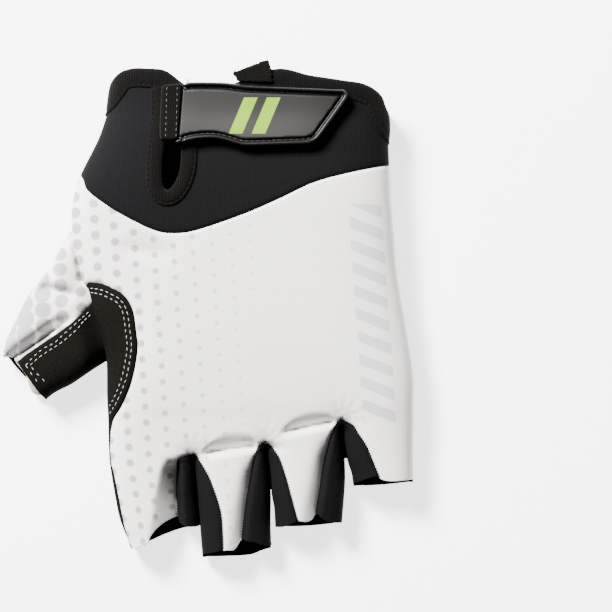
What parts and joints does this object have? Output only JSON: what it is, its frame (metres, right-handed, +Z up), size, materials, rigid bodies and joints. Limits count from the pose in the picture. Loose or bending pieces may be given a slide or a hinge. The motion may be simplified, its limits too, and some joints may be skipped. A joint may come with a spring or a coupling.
{
  "type": "cycling glove",
  "caption": "Half-finger cycling glove for the left hand, lying palm down, with a stretch back, suede palm, short open fingers and a wrist strap over a bound slit.",
  "frame": {"origin": "middle of the underside, on the surface that the glove lies on", "axes": "+Y from the fingertips to the cuff, +Z up from the palm to the back of the hand, -X towards the thumb"},
  "size_m": [0.1424, 0.1718, 0.0251],
  "materials": {
    "white_cloth": "smooth white stretch knit with faint cross ribs and a grey dot print",
    "black_cloth": "fine black stretch knit",
    "suede": "matte black synthetic suede with a short nap and white double stitching",
    "binding": "black elastic tape folded over the edge",
    "strap_rubber": "satin black moulded rubber with a raised rim",
    "tape": "black hook-and-loop tape with a short pile"
  },
  "bodies": {
    "root": {"back_panel": "white_cloth", "wrist_panel": "black_cloth", "palm_panel": "suede", "thumb_back": "white_cloth", "thumb_palm": "suede", "thumb_patch": "suede", "fourchette_index_middle": "black_cloth", "fourchette_middle_ring": "black_cloth", "fourchette_ring_little": "black_cloth", "cuff_binding": "binding", "slit_binding": "binding", "strap": "strap_rubber", "strap_anchor": "binding", "hook_pad": "tape", "tape_end": "tape"}
  },
  "joints": []
}
